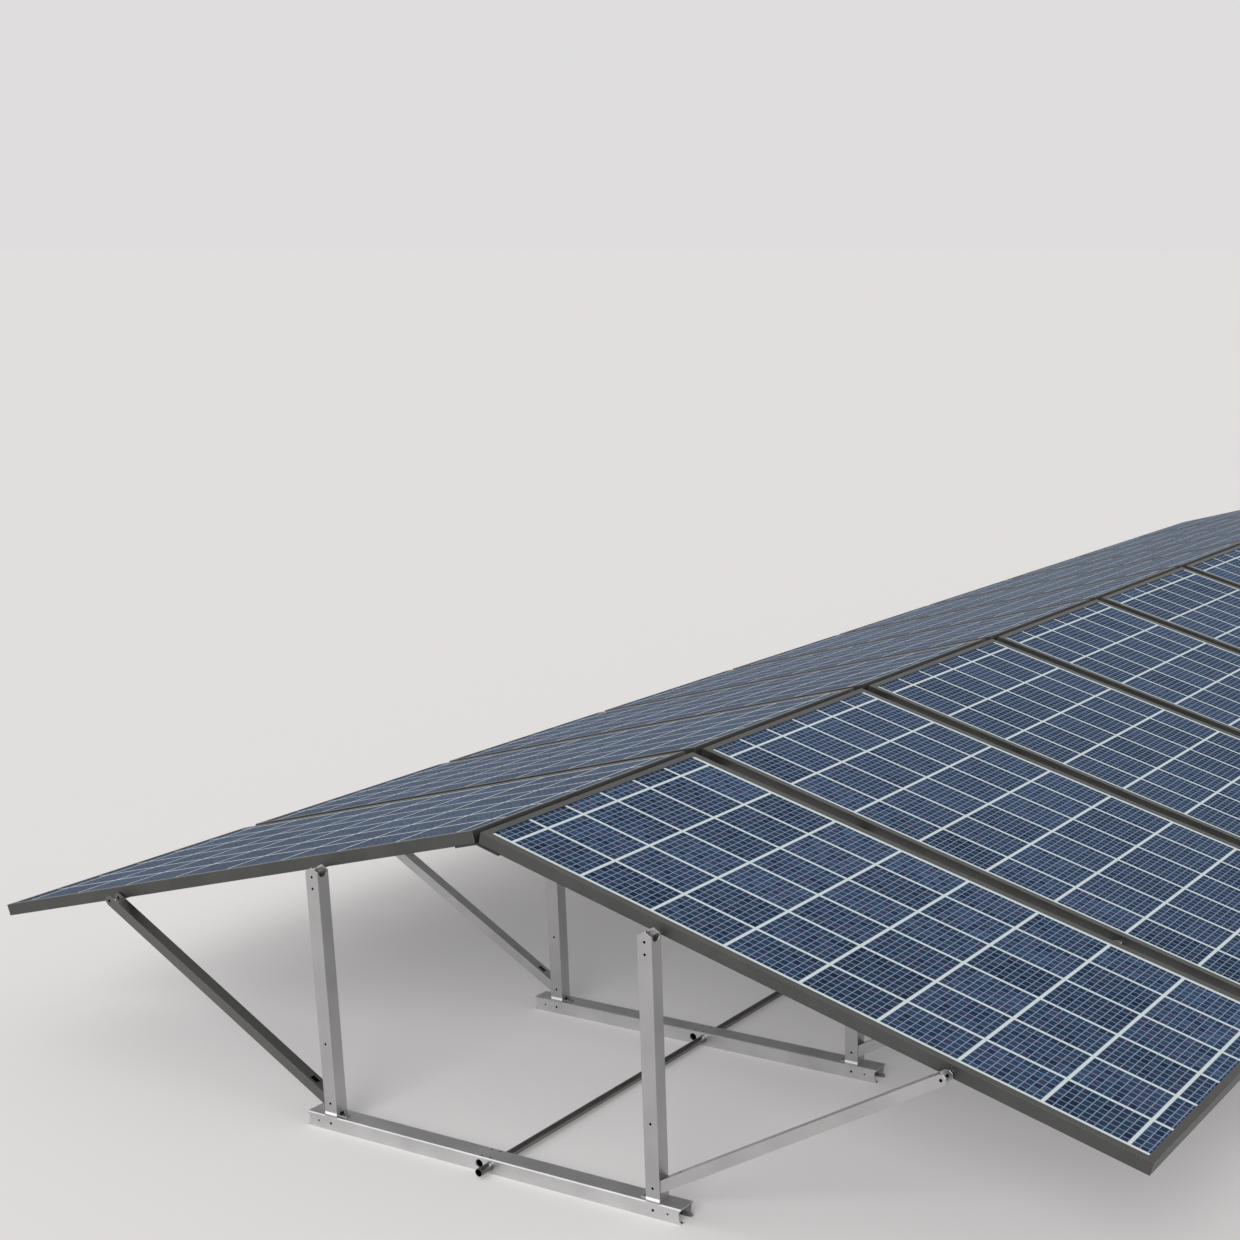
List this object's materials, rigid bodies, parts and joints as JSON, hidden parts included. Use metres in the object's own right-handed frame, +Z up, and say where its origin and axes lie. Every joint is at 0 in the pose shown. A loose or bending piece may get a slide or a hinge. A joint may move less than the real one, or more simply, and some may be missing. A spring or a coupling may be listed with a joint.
{
  "type": "east-west solar ballast mount",
  "caption": "Roof-shaped row of solar modules on low metal portal frames tied together by a tube, two slopes meeting at a ridge.",
  "frame": {"origin": "on the ground under the middle of the ridge, at half the row's length", "axes": "+Y along the row and the tie tube, +X across the row along the base rails, +Z up"},
  "size_m": [3.8088, 10.614, 0.956],
  "materials": {
    "mill_aluminium": "mill finish",
    "zinc_steel": "zinc-magnesium coated",
    "anodised_frame": "dark anodised, satin",
    "solar_glass": "tempered glass over blue cells",
    "box_plastic": "black, moulded"
  },
  "bodies": {
    "root": {"base_rail_01": "mill_aluminium", "base_rail_02": "mill_aluminium", "base_rail_03": "mill_aluminium", "base_rail_04": "mill_aluminium", "base_rail_05": "mill_aluminium", "base_rail_06": "mill_aluminium", "base_rail_07": "mill_aluminium", "base_rail_08": "mill_aluminium", "base_rail_09": "mill_aluminium", "base_rail_10": "mill_aluminium", "base_rail_11": "mill_aluminium", "east_junction_boxes": "box_plastic", "east_laminates": "solar_glass", "east_module_frame_01": "anodised_frame", "east_module_frame_02": "anodised_frame", "east_module_frame_03": "anodised_frame", "east_module_frame_04": "anodised_frame", "east_module_frame_05": "anodised_frame", "east_module_frame_06": "anodised_frame", "east_module_frame_07": "anodised_frame", "east_module_frame_08": "anodised_frame", "east_module_frame_09": "anodised_frame", "east_module_frame_10": "anodised_frame", "east_post_saddles": "zinc_steel", "east_posts": "mill_aluminium", "east_strut_saddles": "zinc_steel", "east_struts": "mill_aluminium", "ridge_plates": "zinc_steel", "splice_sleeves": "zinc_steel", "tie_tube_01": "zinc_steel", "tie_tube_02": "zinc_steel", "tie_tube_03": "zinc_steel", "west_junction_boxes": "box_plastic", "west_laminates": "solar_glass", "west_module_frame_01": "anodised_frame", "west_module_frame_02": "anodised_frame", "west_module_frame_03": "anodised_frame", "west_module_frame_04": "anodised_frame", "west_module_frame_05": "anodised_frame", "west_module_frame_06": "anodised_frame", "west_module_frame_07": "anodised_frame", "west_module_frame_08": "anodised_frame", "west_module_frame_09": "anodised_frame", "west_module_frame_10": "anodised_frame", "west_post_saddles": "zinc_steel", "west_posts": "mill_aluminium", "west_strut_saddles": "zinc_steel", "west_struts": "mill_aluminium"}
  },
  "joints": []
}
